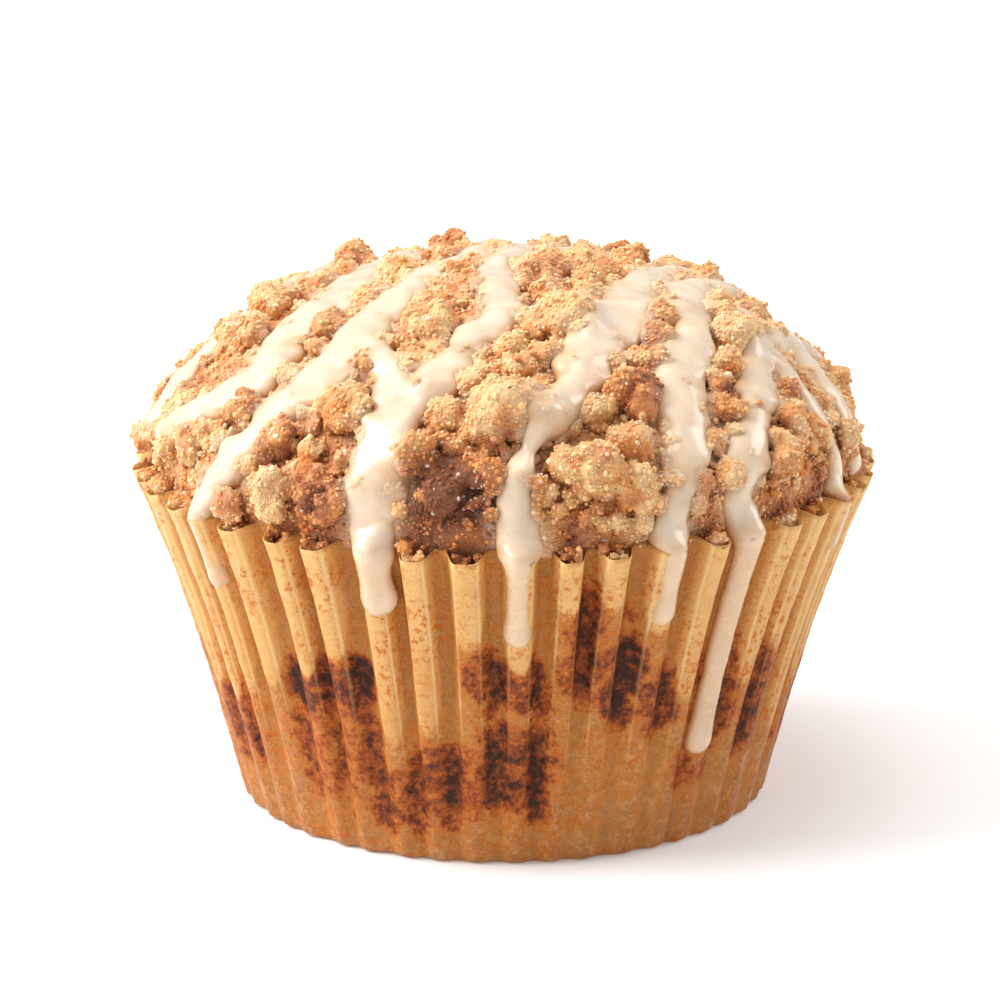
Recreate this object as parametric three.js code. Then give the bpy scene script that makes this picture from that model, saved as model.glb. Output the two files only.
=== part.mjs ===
// Streusel muffin in a pleated paper cup, with icing drizzled over the top.
// Units are millimetres, +Z is up, and the origin is the middle of the cup's underside.
import * as THREE from 'three';

// Paper cup
const BASE_RADIUS = 25.4;
const RIM_RADIUS = 36.5;
const CUP_HEIGHT = 33.5;
const PAPER = 0.3;
const PLEATS = 45;
const PLEAT_DEPTH_RIM = 2.4;
const PLEAT_DEPTH_BASE = 0.4;
const RIM_WAVE = 0.8; // how much higher the paper's edge stands in a valley than on a crest
const RIM_FLARE = 0.18; // share of the wall's lean that comes in towards the rim
const BASE_CORNER = 1.0;

// Baked body
const CLEARANCE = 0.35; // gap kept between pieces that touch
const CRUMB_FILL = 0.6; // share of a pleat's depth that the crumb follows
const LIP_RISE = 1.0; // height over which the body swells out above the paper's edge
const DOME_INSET = 1.5; // how far the dome's widest ring stays inside the rim's crests
const DOME_HEIGHT = 16.4;
const DOME_FULLNESS = 2.2; // 2 is an ellipse, more is a squarer shoulder
const DOME_RINGS = 6;

// Icing
const ICING_WIDTH = 3.6;
const ICING_THICKNESS = 1.6;
const DRIP_NARROWING = 0.72; // width of a drip on the paper, as a share of the line's width
const EDGE_ROOM = 0.35; // extra gap where a line bends over the paper's edge
const EDGE_BEND = [75, 40, 10]; // degrees above level of the stations round the edge
const DRIP_STEP = 4;
const ICING_STEP = 3.4; // length of icing between one ring of its mesh and the next

// Streusel
const CRUMB_RADIUS = 4.6;
const CRUMB_HEIGHT = 4.2;
const CRUMB_SEAT = 0.3; // how far below its widest ring a crumb is cut flat, as a share of its height
const CRUMBS_PER_LANE = 5;
const CRUMB_LUMPS = 0.24;

const SAMPLES_PER_PLEAT = 4;
const AROUND = PLEATS * SAMPLES_PER_PLEAT;
const paperTop = CUP_HEIGHT + RIM_WAVE / 2;
const domeBase = paperTop + CLEARANCE + LIP_RISE;
const domeRadius = RIM_RADIUS - DOME_INSET;

// Each icing line runs over the top from the back to the front, left to right. Its points are
// shares of the dome's radius in plan, and front and back are the lengths of its drips down the
// paper, 0 where the line stops on the crumb.
const ICING_LINES = [
  { path: [[-0.66, 0.66], [-0.72, 0.44], [-0.82, 0.30], [-0.90, 0.26]], back: 6, front: 0 },
  { path: [[-0.38, 0.88], [-0.45, 0.58], [-0.56, 0.28], [-0.72, 0.08], [-0.93, 0.02]], back: 0, front: 0 },
  { path: [[-0.12, 0.95], [-0.22, 0.60], [-0.36, 0.24], [-0.48, -0.08], [-0.62, -0.28], [-0.88, -0.26]],
    back: 9, front: 0 },
  { path: [[0.12, 0.90], [0.02, 0.55], [-0.10, 0.18], [-0.27, -0.15], [-0.42, -0.40], [-0.58, -0.54],
    [-0.80, -0.55]], back: 0, front: 8 },
  { path: [[0.38, 0.88], [0.28, 0.52], [0.15, 0.12], [0.01, -0.30], [-0.15, -0.60], [-0.30, -0.80],
    [-0.35, -0.93]], back: 7, front: 7 },
  { path: [[0.60, 0.72], [0.50, 0.42], [0.40, 0.05], [0.30, -0.30], [0.20, -0.62], [0.08, -0.86],
    [0.00, -0.99]], back: 0, front: 10 },
  { path: [[0.80, 0.55], [0.68, 0.25], [0.55, -0.05], [0.51, -0.35], [0.47, -0.60], [0.48, -0.80],
    [0.48, -0.87]], back: 12, front: 9 },
  { path: [[0.92, 0.20], [0.78, 0.02], [0.70, -0.20], [0.70, -0.42], [0.67, -0.60], [0.64, -0.76]],
    back: 0, front: 24 },
  { path: [[0.90, -0.06], [0.87, -0.20], [0.90, -0.32], [0.93, -0.36]], back: 0, front: 6 },
];

const materials = {
  paper: new THREE.MeshStandardMaterial({ color: 0xdba766, roughness: 0.55, metalness: 0 }),
  crumb: new THREE.MeshStandardMaterial({ color: 0xb87a45, roughness: 0.9, metalness: 0 }),
  streusel: new THREE.MeshStandardMaterial({ color: 0xd39a5c, roughness: 0.95, metalness: 0 }),
  icing: new THREE.MeshStandardMaterial({ color: 0xf1e2d0, roughness: 0.3, metalness: 0 }),
};

const muffin = new THREE.Group();

function addMesh(name, geometry, material) {
  const mesh = new THREE.Mesh(geometry, material);
  mesh.name = name;
  muffin.add(mesh);
  return mesh;
}

// ---- pleated wall ----

// 0 on the crest of a pleat and 1 in its valley.
function valley(turn) {
  return (1 - Math.cos(turn * PLEATS)) / 2;
}

// Outer radius of the wall at a share of the cup's height.
function wallRadius(share, turn) {
  const lean = (1 - RIM_FLARE) * share + RIM_FLARE * share ** 3;
  const crest = BASE_RADIUS + (RIM_RADIUS - BASE_RADIUS) * lean;
  return crest - pleatDepth(share) * valley(turn);
}

function pleatDepth(share) {
  return PLEAT_DEPTH_BASE + (PLEAT_DEPTH_RIM - PLEAT_DEPTH_BASE) * share ** 1.5;
}

// Height of the wall at a share of the way up it: the edge is higher in the valleys.
function wallHeight(share, turn) {
  return share * (CUP_HEIGHT + RIM_WAVE * (valley(turn) - 0.5));
}

function ring(radiusAt, heightAt) {
  const points = [];
  for (let i = 0; i < AROUND; i += 1) {
    const turn = (2 * Math.PI * i) / AROUND;
    const radius = radiusAt(turn);
    points.push(new THREE.Vector3(radius * Math.cos(turn), radius * Math.sin(turn), heightAt(turn)));
  }
  return points;
}

// A closed skin from a first pole, through rings that run anticlockwise, to a last pole.
function skin(firstPole, rings, lastPole) {
  const points = [firstPole, ...rings.flat(), lastPole];
  const faces = [];
  const last = points.length - 1;
  const at = (row, i) => 1 + row * AROUND + (i % AROUND);
  for (let i = 0; i < AROUND; i += 1) {
    faces.push(0, at(0, i + 1), at(0, i));
    for (let row = 0; row < rings.length - 1; row += 1) {
      faces.push(at(row, i), at(row, i + 1), at(row + 1, i + 1));
      faces.push(at(row, i), at(row + 1, i + 1), at(row + 1, i));
    }
    faces.push(at(rings.length - 1, i), at(rings.length - 1, i + 1), last);
  }
  const geometry = new THREE.BufferGeometry().setFromPoints(points);
  geometry.setIndex(faces);
  geometry.computeVertexNormals();
  return geometry;
}

const WALL_LEVELS = [0.3, 0.55, 0.8, 1];

function paperCup() {
  const cornerShare = BASE_CORNER / CUP_HEIGHT;
  const levels = [cornerShare, ...WALL_LEVELS];
  const footRadius = BASE_RADIUS - BASE_CORNER;
  const outside = [ring(() => footRadius, () => 0)];
  const inside = [ring(() => footRadius - PAPER, () => PAPER)];
  for (const share of levels) {
    outside.push(ring((turn) => wallRadius(share, turn), (turn) => wallHeight(share, turn)));
    inside.push(ring((turn) => wallRadius(share, turn) - PAPER, (turn) => wallHeight(share, turn)));
  }
  const floor = new THREE.Vector3(0, 0, 0);
  return skin(floor, [...outside, ...inside.reverse()], new THREE.Vector3(0, 0, PAPER));
}

// ---- baked body ----

// Radius of the crumb inside the cup. It follows the pleats only part of the way into each crest.
function crumbRadius(share, turn) {
  const unfilled = (1 - CRUMB_FILL) * pleatDepth(share) * (1 - valley(turn));
  return wallRadius(share, turn) - PAPER - CLEARANCE - unfilled;
}

// A point on the dome, from shares of its radius in plan.
function domePoint(x, y) {
  const share = Math.min(Math.hypot(x, y), 1);
  const rise = (1 - share ** DOME_FULLNESS) ** (1 / DOME_FULLNESS);
  return new THREE.Vector3(x * domeRadius, y * domeRadius, domeBase + DOME_HEIGHT * rise);
}

function domeNormal(x, y) {
  const share = Math.min(Math.hypot(x, y), 1);
  const rise = (1 - share ** DOME_FULLNESS) ** (1 / DOME_FULLNESS);
  const outward = share ** (DOME_FULLNESS - 1) / domeRadius;
  const upward = rise ** (DOME_FULLNESS - 1) / DOME_HEIGHT;
  const turn = Math.atan2(y, x);
  return new THREE.Vector3(outward * Math.cos(turn), outward * Math.sin(turn), upward).normalize();
}

function bakedBody() {
  const floorHeight = PAPER + CLEARANCE;
  const footRadius = BASE_RADIUS - BASE_CORNER - PAPER - CLEARANCE;
  const cornerShare = (BASE_CORNER + CLEARANCE) / CUP_HEIGHT;
  const rings = [ring(() => footRadius, () => floorHeight)];
  for (const share of [cornerShare, ...WALL_LEVELS.slice(0, -1)]) {
    rings.push(ring((turn) => crumbRadius(share, turn), (turn) => wallHeight(share, turn)));
  }
  rings.push(ring((turn) => crumbRadius(1, turn), () => paperTop + CLEARANCE));
  for (let i = 0; i < DOME_RINGS; i += 1) {
    const share = Math.cos((i * Math.PI) / 2 / DOME_RINGS);
    const edge = domePoint(share, 0);
    rings.push(ring(() => edge.x, () => edge.z));
  }
  return skin(new THREE.Vector3(0, 0, floorHeight), rings, domePoint(0, 0));
}

// ---- icing ----

// Points and outward directions of a drip that runs over the paper's edge and down a crest.
function dripStations(x, y, length) {
  const turn = Math.atan2(y, x);
  const outward = new THREE.Vector3(Math.cos(turn), Math.sin(turn), 0);
  const lift = ICING_THICKNESS / 2 + CLEARANCE;
  const at = (radius, height) => outward.clone().multiplyScalar(radius).setZ(height);
  const stations = EDGE_BEND.map((degrees) => {
    const angle = THREE.MathUtils.degToRad(degrees);
    const reach = lift + EDGE_ROOM;
    const point = at(RIM_RADIUS + reach * Math.cos(angle), paperTop + reach * Math.sin(angle));
    return { point, normal: at(Math.cos(angle), Math.sin(angle)) };
  });
  const steps = Math.max(2, Math.round(length / DRIP_STEP));
  for (let i = 1; i <= steps; i += 1) {
    const height = CUP_HEIGHT - (length * i) / steps;
    const crest = wallRadius(height / CUP_HEIGHT, 0);
    stations.push({ point: at(crest + lift, height), normal: outward });
  }
  return stations;
}

function planCurve(line) {
  return new THREE.CatmullRomCurve3(line.path.map(([x, y]) => new THREE.Vector3(x, y, 0)));
}

// Every station of a line: its middle, and the direction that faces away from what it lies on.
function icingStations(line) {
  const curve = planCurve(line);
  const lift = CLEARANCE + ICING_THICKNESS / 2;
  const count = 2 * line.path.length;
  const stations = [];
  for (let i = 0; i <= count; i += 1) {
    const plan = curve.getPoint(i / count);
    const normal = domeNormal(plan.x, plan.y);
    stations.push({ point: domePoint(plan.x, plan.y).addScaledVector(normal, lift), normal });
  }
  if (line.front > 0) {
    stations.push(...dripStations(...line.path.at(-1), line.front));
  }
  if (line.back > 0) {
    stations.unshift(...dripStations(...line.path[0], line.back).reverse());
  }
  return stations;
}

// A flat capsule laid along its stations, narrower where it hangs down the paper.
function icingLine(line) {
  const stations = icingStations(line);
  const middle = new THREE.CatmullRomCurve3(stations.map((station) => station.point));
  const facing = new THREE.CatmullRomCurve3(stations.map((station) => station.normal));
  const length = middle.getLength();
  const radius = ICING_WIDTH / 2;
  const rings = Math.ceil(length / ICING_STEP);
  const geometry = new THREE.CapsuleGeometry(radius, length - 2 * radius, 2, 8, rings);
  const position = geometry.attributes.position;
  const flat = ICING_THICKNESS / ICING_WIDTH;
  for (let i = 0; i < position.count; i += 1) {
    const share = THREE.MathUtils.clamp(position.getY(i) / length + 0.5, 0, 1);
    const centre = middle.getPointAt(share);
    const along = middle.getTangentAt(share);
    const out = facing.getPoint(middle.getUtoTmapping(share)).normalize();
    const across = new THREE.Vector3().crossVectors(along, out).normalize();
    const narrow = centre.z < domeBase ? DRIP_NARROWING : 1;
    centre.addScaledVector(across, position.getX(i) * narrow);
    centre.addScaledVector(out, position.getZ(i) * flat);
    position.setXYZ(i, centre.x, centre.y, centre.z);
  }
  return geometry;
}

// ---- streusel ----

// A lumpy crumb, no wider than its radius, cut flat underneath where it sits.
function crumbGeometry(radius, seed) {
  const geometry = new THREE.IcosahedronGeometry(1, 1);
  const position = geometry.attributes.position;
  const height = CRUMB_HEIGHT * (0.55 + 0.45 * (radius / CRUMB_RADIUS));
  for (let i = 0; i < position.count; i += 1) {
    const unit = new THREE.Vector3().fromBufferAttribute(position, i);
    const swell = Math.sin(2.9 * unit.x + seed) * Math.sin(3.3 * unit.y + 2 * seed);
    const size = 1 - CRUMB_LUMPS * (0.5 - 0.5 * swell * Math.sin(2.6 * unit.z - seed));
    const half = height / (1 + CRUMB_SEAT);
    const z = (unit.z * size + CRUMB_SEAT) * half;
    position.setXYZ(i, unit.x * size * radius, unit.y * size * radius, Math.max(z, 0));
  }
  return geometry;
}

// How wide a crumb may be at a point before it touches the icing or a crumb already there.
function room(point, icing, crumbs) {
  let free = CRUMB_RADIUS;
  for (const stop of icing) {
    free = Math.min(free, point.distanceTo(stop) - ICING_WIDTH / 2 - CLEARANCE);
  }
  for (const crumb of crumbs) {
    free = Math.min(free, point.distanceTo(crumb.point) - crumb.radius - CLEARANCE);
  }
  return free;
}

// Crumbs lie in the lanes between neighbouring icing lines, a few to each lane.
function streuselCrumbs() {
  const curves = ICING_LINES.map(planCurve);
  const icing = ICING_LINES.flatMap((line) => icingStations(line).map((station) => station.point));
  const crumbs = [];
  for (let lane = 0; lane < curves.length - 1; lane += 1) {
    for (let i = 0; i < CRUMBS_PER_LANE; i += 1) {
      const share = (i + 0.5) / CRUMBS_PER_LANE;
      const plan = curves[lane].getPointAt(share).lerp(curves[lane + 1].getPointAt(share), 0.5);
      const normal = domeNormal(plan.x, plan.y);
      const point = domePoint(plan.x, plan.y).addScaledVector(normal, CLEARANCE);
      crumbs.push({ point, normal, radius: room(point, icing, crumbs) });
    }
  }
  return crumbs;
}

addMesh('paper_cup', paperCup(), materials.paper);
addMesh('muffin_body', bakedBody(), materials.crumb);

ICING_LINES.forEach((line, index) => {
  addMesh(`icing_line_${index + 1}`, icingLine(line), materials.icing);
});

streuselCrumbs().forEach((crumb, index) => {
  const name = `streusel_crumb_${String(index + 1).padStart(2, '0')}`;
  const mesh = addMesh(name, crumbGeometry(crumb.radius, index + 1), materials.streusel);
  mesh.position.copy(crumb.point);
  mesh.quaternion.setFromUnitVectors(new THREE.Vector3(0, 0, 1), crumb.normal);
});

export default muffin;
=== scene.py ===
"""A streusel muffin in a pleated paper cup, with icing drizzled over it, built round the CAD frame.

Shapes are worked out in millimetres with numpy and OpenVDB, and made as meshes in metres.
"""

import itertools
import math

import bmesh
import bpy
import numpy as np
import openvdb
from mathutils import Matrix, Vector


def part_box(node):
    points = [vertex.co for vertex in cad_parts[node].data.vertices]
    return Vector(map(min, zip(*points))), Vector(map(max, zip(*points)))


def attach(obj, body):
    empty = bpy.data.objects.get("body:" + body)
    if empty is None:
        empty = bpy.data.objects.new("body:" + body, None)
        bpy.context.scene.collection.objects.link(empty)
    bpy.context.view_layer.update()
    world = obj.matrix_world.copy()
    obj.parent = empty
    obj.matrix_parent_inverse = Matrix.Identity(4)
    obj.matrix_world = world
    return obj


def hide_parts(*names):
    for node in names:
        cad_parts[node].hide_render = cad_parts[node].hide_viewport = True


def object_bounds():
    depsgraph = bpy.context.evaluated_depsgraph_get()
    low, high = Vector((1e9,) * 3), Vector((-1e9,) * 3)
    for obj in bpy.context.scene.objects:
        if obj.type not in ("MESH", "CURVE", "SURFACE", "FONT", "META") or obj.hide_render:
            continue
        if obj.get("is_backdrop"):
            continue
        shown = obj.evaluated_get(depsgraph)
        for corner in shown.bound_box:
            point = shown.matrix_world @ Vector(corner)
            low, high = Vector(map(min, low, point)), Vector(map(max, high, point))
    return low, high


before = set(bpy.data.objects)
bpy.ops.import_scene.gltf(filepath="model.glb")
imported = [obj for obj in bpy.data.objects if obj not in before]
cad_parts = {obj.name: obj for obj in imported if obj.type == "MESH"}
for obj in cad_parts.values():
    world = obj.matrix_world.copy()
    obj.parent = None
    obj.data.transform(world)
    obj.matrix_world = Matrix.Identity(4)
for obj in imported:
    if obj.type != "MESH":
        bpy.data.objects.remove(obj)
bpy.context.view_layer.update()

MM = 0.001
rng = np.random.default_rng(20)

# ---- sizes, in millimetres ----

_cup_low, cup_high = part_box("paper_cup")
body_low, body_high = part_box("muffin_body")
RIM_RADIUS = cup_high.x / MM
CUP_TOP = cup_high.z / MM
DOME_RADIUS = body_high.x / MM - 0.4
FLOOR_OF_CUP = body_low.z / MM

# Paper cup
BASE_RADIUS = 25.9
PLEATS = 45
PLEAT_DEPTH_RIM = 2.5
PLEAT_DEPTH_BASE = 0.6
RIM_WAVE = 0.8  # how much higher the paper's edge stands in a valley than on a crest
RIM_FLARE = 0.18  # share of the wall's lean that comes in towards the rim
CREST_BREADTH = 0.28  # 0 makes crests and valleys alike, more makes the crests broader
CREST_HALF = 0.29  # half a crest's width, as a share of a pleat
PAPER = 0.14
BASE_CORNER = 0.6
PLUG_GAP = 0.45  # how far the cake stays behind the paper
PAPER_GAP = 0.2  # how far the streusel stays behind it
CUP_HEIGHT = CUP_TOP - RIM_WAVE / 2

# Dome and streusel
DOME_BASE = CUP_TOP + 1.3
DOME_TOP = 51.6
DOME_FULLNESS = 1.85  # 2 is an ellipse, less has a softer shoulder
CRUMB_BLEND = 0.32  # how softly the lumps of a crumb join
STREUSEL_SEAT = 0.7  # how far the streusel reaches into the body
# How far crumbs behind the front are sunk, by distance from the middle as a share of the dome's radius.
CRUMB_SINK = ([0.45, 0.60, 0.74, 0.81, 0.94, 0.98], [0.0, -0.8, -0.8, 1.3, 1.3, 0.0])
CRUMB_ROUNDS = (5.6, 4.4, 3.4, 2.6, 1.9)  # sizes scattered round the main crumbs, big ones first
LUMP_RADIUS = (0.26, 0.46)  # shares of the crumb's radius
LUMP_REACH = (0.25, 0.72)
KNOB_RADIUS = (0.35, 0.75)
KNOBS = 4500
KNOBS_AT_RIM = 2200
# Surface noise as pairs of height and size across.
CRUST_BUMPS = ((0.42, 4.0), (0.22, 1.6), (0.10, 0.7))
STREUSEL_BUMPS = ((0.34, 2.3), (0.18, 0.9), (0.12, 0.5))
GRAIN_SIZES = (0.14, 0.19, 0.25, 0.33)
GRAIN_SHARES = (0.34, 0.35, 0.23, 0.08)
ROUNDER_GRAIN = 0.34  # grains bigger than this get a finer mesh
GRAINS_FRONT = 8800
GRAINS_BACK = 6500

# Icing
LINE_WIDENING = 1.10  # width on the dome, as a share of the width given for a line
LINE_THICKNESS = 0.84
DRIP_THICKNESS = 1.0
DRIP_END_THICKNESS = 1.15
EDGE_THICKNESS = 1.30  # where a drip bends over the paper's edge
EDGE_COAT = 0.65  # icing over the paper's edge, at the middle of a line
ICING_DEPTH = 0.9  # how far icing reaches below the smoothed ground
GROUND_BLUR = 0.95
ICING_BLUR = 0.28
ICING_FACES_KEPT = 0.62
SHARE_FAR = 1.6  # how far across a line is noted, where 1 is its edge

VOXEL = 0.28
GRID_SIDE = 40.0
GRID_LOW = -1.0
GRID_HIGH = 57.0
CRUST_LOW = 29.0  # the streusel is meshed from this height up

# Icing lines from back to front and left to right: plan points as shares of the dome's radius,
# each with the line's width there. A drip is (azimuth, end height, width) down the paper.
ICING_LINES = [
    {"path": [(-0.66, 0.66, 3.5), (-0.72, 0.44, 4), (-0.82, 0.30, 4), (-0.92, 0.26, 3.5)],
     "back": (135, 26.0, 2.6)},
    {"path": [(-0.38, 0.90, 3.5), (-0.45, 0.58, 4), (-0.56, 0.28, 4.2), (-0.72, 0.08, 4), (-0.86, -0.02, 4),
              (-0.97, -0.10, 4.2)]},
    {"path": [(-0.12, 0.96, 3.5), (-0.22, 0.60, 4), (-0.36, 0.24, 4.5), (-0.48, -0.10, 5.4),
              (-0.60, -0.27, 5.2), (-0.67, -0.42, 4), (-0.80, -0.38, 4.2), (-0.93, -0.28, 3.6)],
     "back": (97, 24.0, 2.8)},
    {"path": [(0.12, 0.92, 3.5), (0.02, 0.55, 4), (-0.12, 0.18, 4), (-0.27, -0.15, 4), (-0.42, -0.42, 4.6),
              (-0.56, -0.57, 5.0), (-0.72, -0.62, 4.2), (-0.79, -0.60, 3.2)], "front": (-146, 25.4, 3.1)},
    {"path": [(0.38, 0.90, 3.5), (0.25, 0.60, 4.2), (0.08, 0.30, 4.2), (-0.02, 0.02, 4),
              (-0.01, -0.32, 4.6), (-0.09, -0.48, 4.6), (-0.16, -0.62, 4.4), (-0.28, -0.76, 4.4),
              (-0.34, -0.86, 5.2), (-0.37, -0.93, 4.6)],
     "back": (67, 26.0, 3.0), "front": (-110.5, 26.2, 4.2)},
    {"path": [(-0.36, -0.45, 2.6), (-0.30, -0.62, 3.4), (-0.30, -0.75, 3.2)]},
    {"path": [(0.60, 0.74, 3.5), (0.52, 0.42, 4), (0.40, 0.10, 4.2), (0.33, -0.25, 5.8), (0.26, -0.47, 5.6),
              (0.20, -0.63, 5.0), (0.11, -0.84, 4.0), (0.03, -0.95, 3.2)], "front": (-89, 23.6, 3.1)},
    {"path": [(0.80, 0.56, 3.5), (0.66, 0.28, 4), (0.50, 0.00, 4.2), (0.51, -0.32, 4.6), (0.48, -0.58, 4.6),
              (0.49, -0.76, 4.2), (0.47, -0.87, 3.6)], "back": (36, 21.0, 2.6), "front": (-60.5, 24.8, 3.3)},
    {"path": [(0.93, 0.24, 3.4), (0.80, 0.04, 3.8), (0.70, -0.18, 3.8), (0.70, -0.36, 3.6),
              (0.68, -0.54, 3.8), (0.66, -0.68, 4.2), (0.64, -0.76, 3.4)], "front": (-50, 9.6, 3.1)},
    {"path": [(0.66, -0.02, 3.2), (0.73, -0.16, 3.4), (0.81, -0.27, 3.2), (0.88, -0.35, 3),
              (0.93, -0.37, 2.6)],
     "front": (-20.5, 27.6, 2.4)},
    {"path": [(0.78, 0.20, 3), (0.82, 0.02, 3.6), (0.88, -0.10, 4), (0.95, -0.16, 4), (0.98, -0.20, 3)]},
]

# Streusel lumps that the eye picks out: plan place as shares of the dome's radius, size across in
# millimetres, and tone from 0, dark cinnamon, to 1, pale gold.
MAIN_CRUMBS = [
    (-0.66, 0.16, 5.0, 0.9), (-0.84, -0.12, 3.8, 0.3), (-0.95, 0.02, 4.2, 0.35), (-0.99, -0.10, 4.8, 0.8),
    (-0.92, -0.33, 4.4, 0.75),
    (-0.58, -0.45, 3.8, 0.75), (-0.70, -0.51, 4.6, 0.45), (-0.43, -0.68, 7.0, 0.65),
    (-0.37, -0.53, 4.8, 0.3),
    (-0.62, -0.77, 5.6, 0.95), (-0.75, -0.69, 3.6, 0.6), (-0.48, -0.86, 5.6, 0.25),
    (-0.36, -0.15, 5.8, 0.85),
    (-0.30, 0.10, 6.0, 0.8), (-0.19, -0.38, 6.6, 0.85), (-0.05, -0.16, 4.0, 0.8), (0.16, -0.38, 8.6, 0.85),
    (-0.22, -0.67, 4.2, 0.35), (0.01, -0.80, 10.0, 0.8), (0.03, -0.62, 5.0, 0.5), (-0.17, -0.95, 5.0, 0.15),
    (-0.05, -0.93, 5.6, 0.3), (0.22, -0.90, 8.0, 0.6), (0.36, -0.66, 7.0, 0.3), (0.41, -0.38, 5.0, 0.35),
    (0.58, -0.10, 4.6, 0.6), (0.68, 0.10, 4.4, 0.8), (0.80, 0.18, 4.4, 0.4), (0.92, -0.02, 4.0, 0.75),
    (0.95, -0.24, 4.0, 0.7), (0.61, -0.38, 4.2, 0.7), (0.60, -0.58, 4.0, 0.35), (0.79, -0.45, 4.4, 0.5),
    (0.60, -0.76, 4.0, 0.65), (0.36, -0.90, 5.8, 0.55), (0.10, 0.02, 6.4, 0.8), (0.22, 0.28, 6.0, 0.8),
    (-0.06, 0.42, 6.4, 0.75), (0.36, 0.44, 5.6, 0.7), (0.48, 0.18, 5.0, 0.6),
]

# Places where the cinnamon shows dark: plan place, reach in millimetres.
DARK_SPOTS = [
    (-0.68, -0.52, 1.8), (-0.62, -0.68, 2.0), (-0.50, -0.86, 3.6), (-0.35, -0.66, 2.4), (-0.22, -0.95, 5.2),
    (-0.10, -0.96, 4.6), (0.42, -0.62, 4.2), (0.52, -0.84, 2.6), (0.88, -0.48, 3.0), (-0.24, -0.72, 2.2),
    (0.23, -0.97, 3.0), (0.02, -0.24, 2.4), (0.62, -0.50, 3.0), (0.78, -0.36, 3.2), (-0.88, -0.05, 4.0),
    (0.30, 0.55, 5.0), (-0.50, 0.62, 5.0), (0.70, 0.50, 4.0), (-0.85, 0.40, 4.0), (0.05, 0.85, 4.0),
]

# Cinnamon that shows through the paper: azimuth from and to, height from and to, strength.
PAPER_STAINS = [
    (-164, -146, 6.0, 14.5, 0.8), (-134, -124, 14.5, 19.5, 1.0), (-134, -123, 6.0, 16.0, 0.6),
    (-124, -115, 16.0, 20.5, 1.0), (-124, -114, 5.0, 17.0, 0.65),
    (-117, -106, 3.6, 9.8, 0.8), (-107, -95, 4.6, 12.5, 0.9), (-95, -90.5, 16.0, 23.0, 0.8),
    (-92, -84, 16.0, 23.0, 0.9), (-95, -81, 5.5, 14.0, 1.0), (-84, -79, 15.5, 19.0, 0.6),
    (-79, -73, 17.0, 29.5, 0.85), (-72, -65, 14.5, 25.0, 1.0), (-64, -57, 13.0, 19.5, 0.9),
    (-55, -46, 6.0, 10.0, 0.7), (-51, -40, 10.0, 21.0, 0.7), (-38, -30, 8.0, 20.0, 0.9),
    (-16, -4, 6.0, 15.0, 0.7), (14, 26, 12.0, 22.0, 0.8), (30, 52, 5.0, 11.0, 0.8),
    (66, 78, 12.0, 24.0, 0.85), (84, 110, 6.0, 13.0, 0.9), (124, 134, 14.0, 22.0, 0.7),
    (140, 162, 5.0, 10.0, 0.8), (172, 182, 10.0, 19.0, 0.7),
]


# ---- colour ----

def srgb(red, green, blue):
    """Linear colour of a display colour given from 0 to 255."""
    linear = []
    for value in (red, green, blue):
        value /= 255
        linear.append(value / 12.92 if value <= 0.04045 else ((value + 0.055) / 1.055) ** 2.4)
    return tuple(linear)


# ---- noise ----

def hashed(cells, seed):
    """A number from 0 to 1 for each whole-number cell."""
    h = cells[:, 0] * 73856093 ^ cells[:, 1] * 19349663 ^ cells[:, 2] * 83492791
    h = (h ^ (seed * 2654435761)) & 0xFFFFFFFF
    h = ((h ^ (h >> 15)) * 2246822519) & 0xFFFFFFFF
    h = ((h ^ (h >> 13)) * 3266489917) & 0xFFFFFFFF
    return ((h ^ (h >> 16)) & 0xFFFFFF) / float(0xFFFFFF)


def between_cells(corner, part, value_at):
    """The value at points that lie part of the way from one corner of a cell to the opposite one."""
    total = 0
    for steps in itertools.product((0, 1), repeat=3):
        weights = np.where(steps, part, 1 - part)
        total = total + weights[:, 0] * weights[:, 1] * weights[:, 2] * value_at(corner + steps)
    return total


def noise_at(points, cell, seed):
    """Smooth noise from -1 to 1 at points, with features about a cell across."""
    place = points / cell
    corner = np.floor(place).astype(np.int64)
    part = place - corner
    part = part * part * (3 - 2 * part)
    return between_cells(corner, part, lambda cells: hashed(cells, seed)) * 2 - 1


# ---- voxel grid ----

xs = np.arange(-GRID_SIDE, GRID_SIDE, VOXEL, dtype=np.float32)
ys = xs
zs = np.arange(GRID_LOW, GRID_HIGH, VOXEL, dtype=np.float32)
ORIGIN = np.array([xs[0], ys[0], zs[0]])
X = xs[:, None, None]
Y = ys[None, :, None]
Z = zs[None, None, :]
SHAPE = (len(xs), len(ys), len(zs))
FAR = np.float32(3.0)


def grid_noise(cell, seed):
    """Smooth noise from -1 to 1 over the whole grid, with features about a cell across."""
    local = np.random.default_rng(seed)
    counts = [int(n * VOXEL / cell) + 3 for n in SHAPE]
    values = local.uniform(-1, 1, counts).astype(np.float32)
    for axis, n in enumerate(SHAPE):
        place = np.arange(n) * (VOXEL / cell)
        index = np.floor(place).astype(int)
        part = (place - index).astype(np.float32)
        part = part * part * (3 - 2 * part)
        shape = [1, 1, 1]
        shape[axis] = n
        part = part.reshape(shape)
        values = np.take(values, index, axis) * (1 - part) + np.take(values, index + 1, axis) * part
    return values


def bumps(recipe, seed):
    """A sum of noises over the grid, from pairs of height and size across."""
    return sum(height * grid_noise(cell, seed + k) for k, (height, cell) in enumerate(recipe))


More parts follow.
